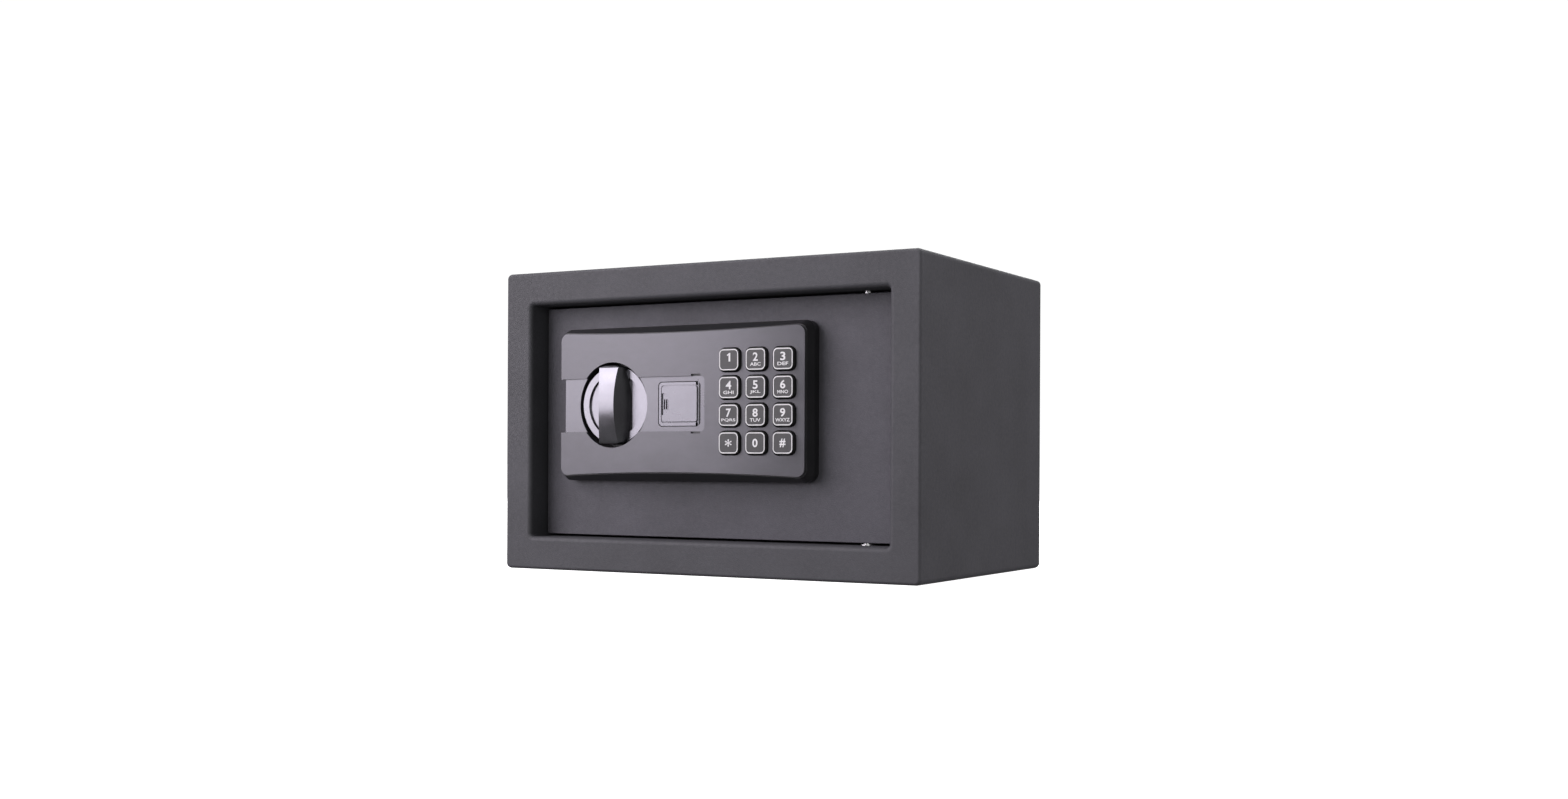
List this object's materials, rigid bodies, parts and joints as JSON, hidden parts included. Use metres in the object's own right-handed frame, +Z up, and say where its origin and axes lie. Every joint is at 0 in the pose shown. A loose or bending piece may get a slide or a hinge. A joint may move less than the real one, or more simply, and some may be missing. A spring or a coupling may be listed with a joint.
{
  "type": "in room safe",
  "caption": "Compact hotel room safe: wrapped steel cabinet, recessed hinged door with a bowed keypad panel, turn knob driven locking bolts and an override lock under a flap.",
  "frame": {"origin": "middle of the base, on the surface the cabinet stands on", "axes": "+X to the right seen from the front, +Y towards the back panel, +Z up"},
  "size_m": [0.31, 0.2079, 0.2],
  "materials": {
    "cabinet_coat": "fine textured charcoal powder coat",
    "door_coat": "fine textured charcoal powder coat",
    "inner_coat": "satin charcoal powder coat",
    "bright_steel": "turned steel",
    "zinc_steel": "zinc plated",
    "felt": "needle felt",
    "black_plastic": "fine spark texture",
    "face_grey": "satin grey paint",
    "band_grey": "satin silver grey paint",
    "knob_silver": "satin metallic paint",
    "key_rubber": "matt silicone rubber",
    "circuit_board": "solder resist",
    "lock_brass": "machined",
    "coil_copper": "wound copper wire",
    "cell_sleeve": "plain sleeve",
    "reset_red": "moulded",
    "lead_sleeve": "insulated lead"
  },
  "bodies": {
    "cabinet": {"cabinet_wrap": "cabinet_coat", "front_frame": "cabinet_coat", "back_panel": "cabinet_coat", "hinge_bushes": "bright_steel", "door_stops": "cabinet_coat", "floor_mat": "felt"},
    "door": {"door_plate": "door_coat", "hinge_blocks": "door_coat", "hinge_pins": "bright_steel", "keypad_housing": "black_plastic", "keypad_fascia": "face_grey", "fascia_inlay": "band_grey", "keypad_board": "circuit_board", "keypad_membrane": "key_rubber", "housing_screws": "zinc_steel", "shaft_bush": "black_plastic", "carriage_studs": "zinc_steel", "solenoid_frame": "zinc_steel", "solenoid_coil": "coil_copper", "solenoid_spring": "bright_steel", "override_lock_barrel": "zinc_steel", "override_lock_nut": "zinc_steel", "inner_cover": "inner_coat", "cover_posts": "zinc_steel", "cover_screws": "zinc_steel", "battery_tray": "black_plastic", "battery_cells": "cell_sleeve", "battery_contacts": "bright_steel", "control_board": "circuit_board", "board_standoffs": "lock_brass", "buzzer": "black_plastic", "reset_switch": "black_plastic", "solenoid_lead": "lead_sleeve", "battery_lead": "lead_sleeve", "keypad_lead": "lead_sleeve"},
    "knob": {"knob": "knob_silver", "knob_shaft": "bright_steel", "knob_cam": "zinc_steel", "cam_screw": "zinc_steel"},
    "bolts": {"bolt_carriage": "zinc_steel", "locking_bolts": "bright_steel"},
    "plunger": {"solenoid_plunger": "bright_steel"},
    "override_flap": {"override_cover": "band_grey"},
    "lock_plug": {"override_lock_plug": "lock_brass", "override_lock_cam": "zinc_steel"},
    "battery_lid": {"battery_cover": "black_plastic"},
    "reset": {"reset_button": "reset_red"},
    "key_1_body": {"key_1": "key_rubber"},
    "key_2_body": {"key_2": "key_rubber"},
    "key_3_body": {"key_3": "key_rubber"},
    "key_4_body": {"key_4": "key_rubber"},
    "key_5_body": {"key_5": "key_rubber"},
    "key_6_body": {"key_6": "key_rubber"},
    "key_7_body": {"key_7": "key_rubber"},
    "key_8_body": {"key_8": "key_rubber"},
    "key_9_body": {"key_9": "key_rubber"},
    "key_star_body": {"key_star": "key_rubber"},
    "key_0_body": {"key_0": "key_rubber"},
    "key_hash_body": {"key_hash": "key_rubber"}
  },
  "joints": [
    {"name": "door_swing", "type": "hinge", "parent": "cabinet", "child": "door", "pos_m": [0.1096, -0.078, 0.1], "axis": [0, 0, 1], "range_deg": [0, 100]},
    {"name": "knob_turn", "type": "hinge", "parent": "door", "child": "knob", "pos_m": [-0.0664, -0.09, 0.10975], "axis": [0, -1, 0], "range_deg": [0, 90]},
    {"name": "bolt_throw", "type": "slide", "parent": "door", "child": "bolts", "axis": [-1, 0, 0], "range_m": [0, 0.016]},
    {"name": "plunger_drop", "type": "slide", "parent": "door", "child": "plunger", "axis": [0, 0, -1], "range_m": [0, 0.005], "stiffness_N_per_m": 30, "springref_m": 0.01, "deforming": ["solenoid_spring"]},
    {"name": "override_flap_swing", "type": "hinge", "parent": "door", "child": "override_flap", "pos_m": [0.00065, -0.1006, 0.10975], "axis": [0, 0, 1], "range_deg": [0, 90]},
    {"name": "lock_plug_turn", "type": "hinge", "parent": "door", "child": "lock_plug", "pos_m": [-0.0138, -0.08, 0.10975], "axis": [0, 1, 0], "range_deg": [0, 90]},
    {"name": "battery_lid_slide", "type": "slide", "parent": "door", "child": "battery_lid", "axis": [0, 0, -1], "range_m": [0, 0.008]},
    {"name": "reset_press", "type": "slide", "parent": "door", "child": "reset", "axis": [0, -1, 0], "range_m": [0, 0.002], "stiffness_N_per_m": 500},
    {"name": "key_1_press", "type": "slide", "parent": "door", "child": "key_1_body", "axis": [0, 1, 0], "range_m": [0, 0.001], "stiffness_N_per_m": 800},
    {"name": "key_2_press", "type": "slide", "parent": "door", "child": "key_2_body", "axis": [0, 1, 0], "range_m": [0, 0.001], "stiffness_N_per_m": 800},
    {"name": "key_3_press", "type": "slide", "parent": "door", "child": "key_3_body", "axis": [0, 1, 0], "range_m": [0, 0.001], "stiffness_N_per_m": 800},
    {"name": "key_4_press", "type": "slide", "parent": "door", "child": "key_4_body", "axis": [0, 1, 0], "range_m": [0, 0.001], "stiffness_N_per_m": 800},
    {"name": "key_5_press", "type": "slide", "parent": "door", "child": "key_5_body", "axis": [0, 1, 0], "range_m": [0, 0.001], "stiffness_N_per_m": 800},
    {"name": "key_6_press", "type": "slide", "parent": "door", "child": "key_6_body", "axis": [0, 1, 0], "range_m": [0, 0.001], "stiffness_N_per_m": 800},
    {"name": "key_7_press", "type": "slide", "parent": "door", "child": "key_7_body", "axis": [0, 1, 0], "range_m": [0, 0.001], "stiffness_N_per_m": 800},
    {"name": "key_8_press", "type": "slide", "parent": "door", "child": "key_8_body", "axis": [0, 1, 0], "range_m": [0, 0.001], "stiffness_N_per_m": 800},
    {"name": "key_9_press", "type": "slide", "parent": "door", "child": "key_9_body", "axis": [0, 1, 0], "range_m": [0, 0.001], "stiffness_N_per_m": 800},
    {"name": "key_star_press", "type": "slide", "parent": "door", "child": "key_star_body", "axis": [0, 1, 0], "range_m": [0, 0.001], "stiffness_N_per_m": 800},
    {"name": "key_0_press", "type": "slide", "parent": "door", "child": "key_0_body", "axis": [0, 1, 0], "range_m": [0, 0.001], "stiffness_N_per_m": 800},
    {"name": "key_hash_press", "type": "slide", "parent": "door", "child": "key_hash_body", "axis": [0, 1, 0], "range_m": [0, 0.001], "stiffness_N_per_m": 800}
  ],
  "couplings": [
    {"joint": "knob_turn", "follows": "bolt_throw", "rad_per_m": 98.175}
  ]
}
